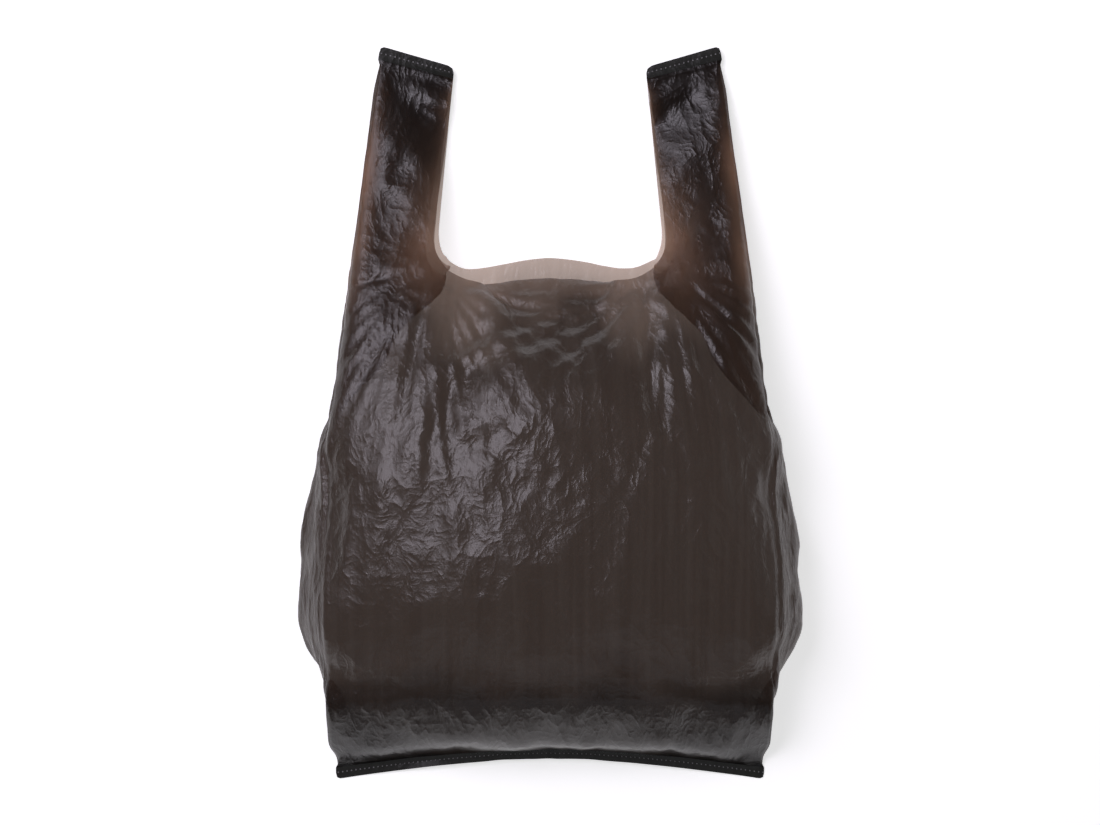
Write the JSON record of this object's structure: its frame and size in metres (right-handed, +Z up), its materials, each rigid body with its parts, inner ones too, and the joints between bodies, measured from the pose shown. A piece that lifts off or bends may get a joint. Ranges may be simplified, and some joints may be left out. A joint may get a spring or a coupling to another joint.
{
  "type": "plastic carrier bag",
  "caption": "Thin film carrier bag with side gussets, a welded bottom and a stamped mouth between handle loops, lying on its back and slightly puffed with air.",
  "frame": {"origin": "middle of the footprint, on the surface that the back panel lies on", "axes": "+Y from the bottom weld to the handles, +X across the bag, +Z up from the back panel to the front panel"},
  "size_m": [0.3378, 0.5, 0.1185],
  "materials": {
    "film": "thin see-through black polyethylene film, satin gloss with fine crinkles"
  },
  "bodies": {
    "root": {"carrier_bag": "film"}
  },
  "joints": []
}
